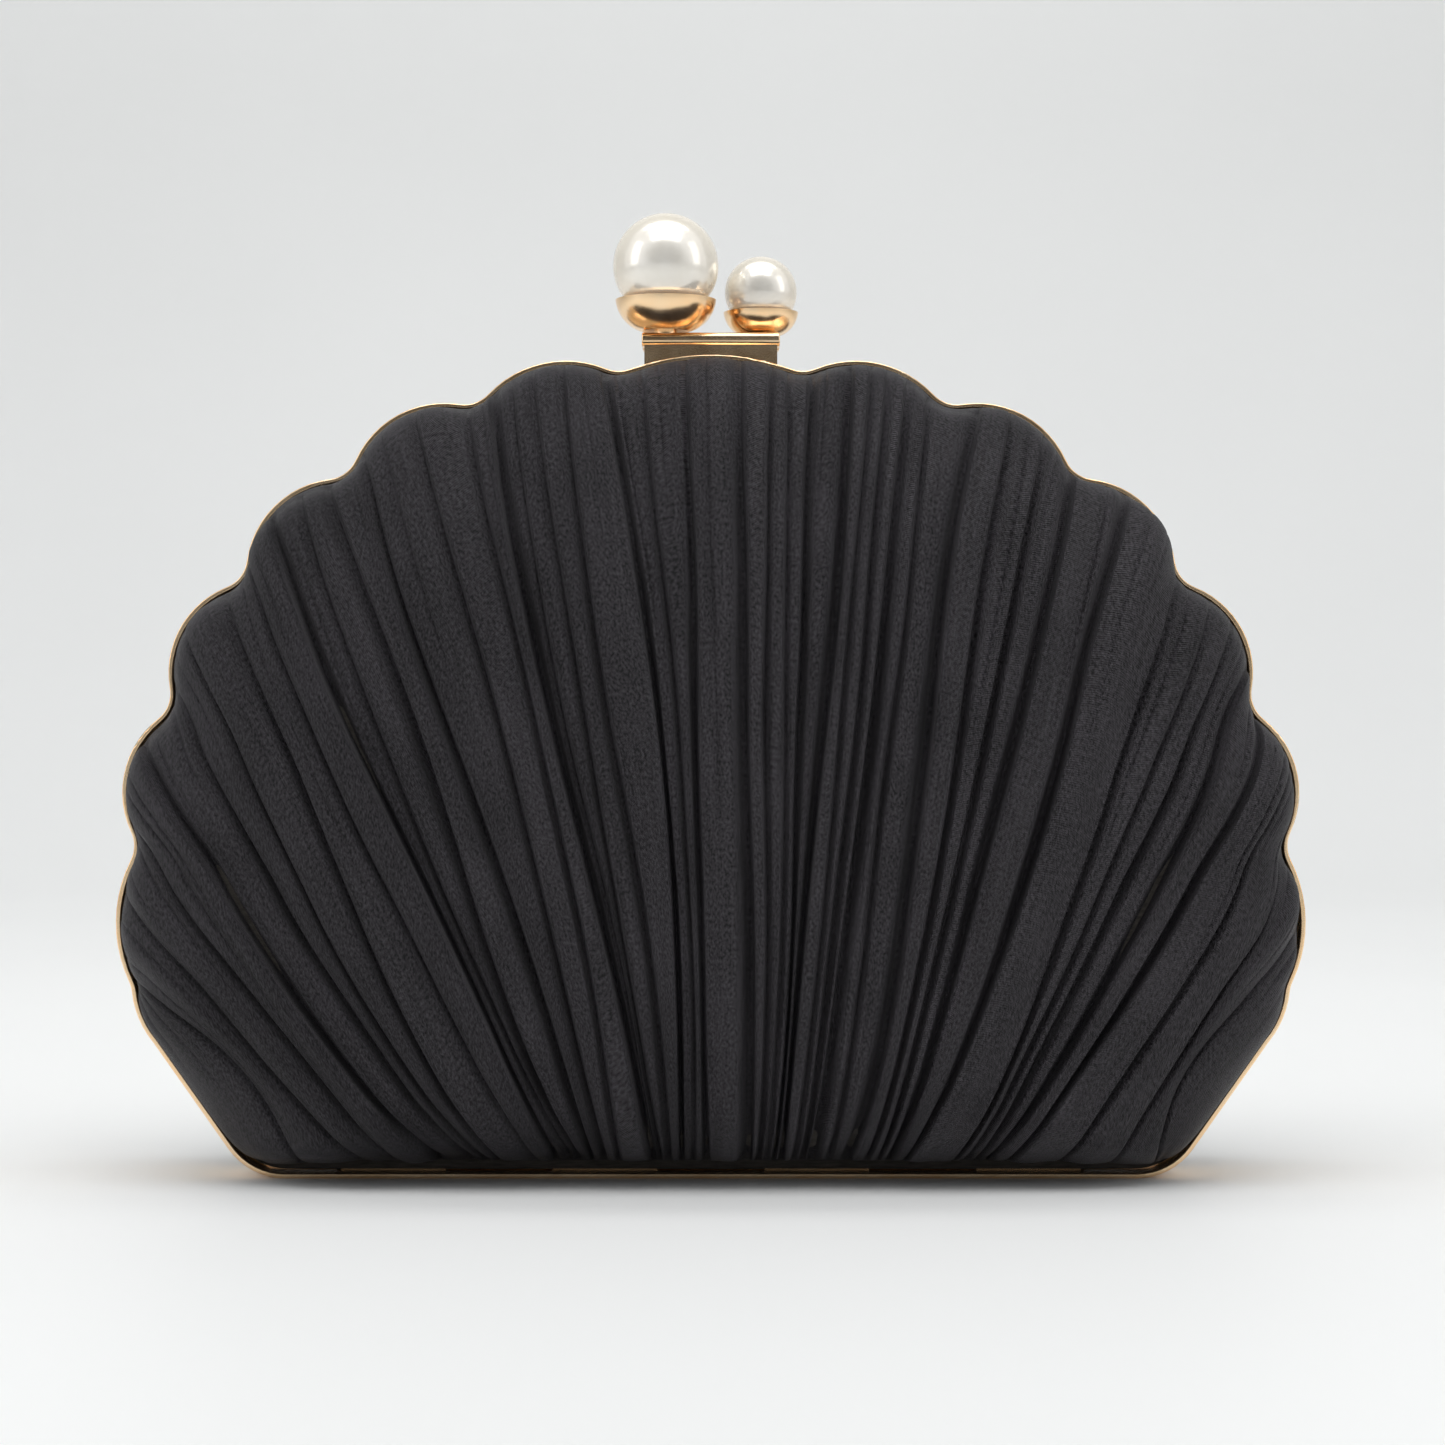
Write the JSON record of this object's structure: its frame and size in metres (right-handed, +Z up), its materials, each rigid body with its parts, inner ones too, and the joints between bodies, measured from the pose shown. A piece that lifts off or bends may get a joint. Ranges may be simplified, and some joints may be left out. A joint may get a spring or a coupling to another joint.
{
  "type": "clutch purse",
  "caption": "Scallop-shell evening clutch of black pleated satin in a gold scalloped frame, hinged at the base and closed by a clasp with a large and a small pearl.",
  "frame": {"origin": "on the surface the purse stands on, below the hinge pin, in the middle of its width and depth", "axes": "+Z up, +X to the right seen from the front, the front faces -Y"},
  "size_m": [0.223, 0.0566, 0.1815],
  "materials": {
    "black_satin": "pleated satin with a soft sheen",
    "lining_satin": "smooth satin",
    "foam": "thin foam sheet",
    "shell_board": "moulded, unpolished",
    "pearl": "pearlescent gloss",
    "pin_steel": "drawn wire",
    "gold_metal": "polished light gold plating"
  },
  "bodies": {
    "rear_half": {"rear_frame": "gold_metal", "rear_cover": "black_satin", "rear_wadding": "foam", "rear_shell": "shell_board", "rear_lining": "lining_satin", "rear_knuckles": "gold_metal", "rear_clasp_jaw": "gold_metal", "small_pearl_cup": "gold_metal", "small_pearl": "pearl", "small_pearl_post": "pin_steel", "hinge_pin": "pin_steel", "left_gusset": "lining_satin", "right_gusset": "lining_satin", "left_chain_eye": "gold_metal", "right_chain_eye": "gold_metal", "slip_pocket": "lining_satin"},
    "front_half": {"front_frame": "gold_metal", "front_cover": "black_satin", "front_wadding": "foam", "front_shell": "shell_board", "front_lining": "lining_satin", "front_knuckles": "gold_metal", "front_clasp_jaw": "gold_metal", "large_pearl_cup": "gold_metal", "large_pearl": "pearl", "large_pearl_post": "pin_steel"}
  },
  "joints": [
    {"name": "front_opening", "type": "hinge", "parent": "rear_half", "child": "front_half", "pos_m": [0, 0, 0.00175], "axis": [1, 0, 0], "range_deg": [0, 55], "deforming": ["left_gusset", "right_gusset"]}
  ]
}
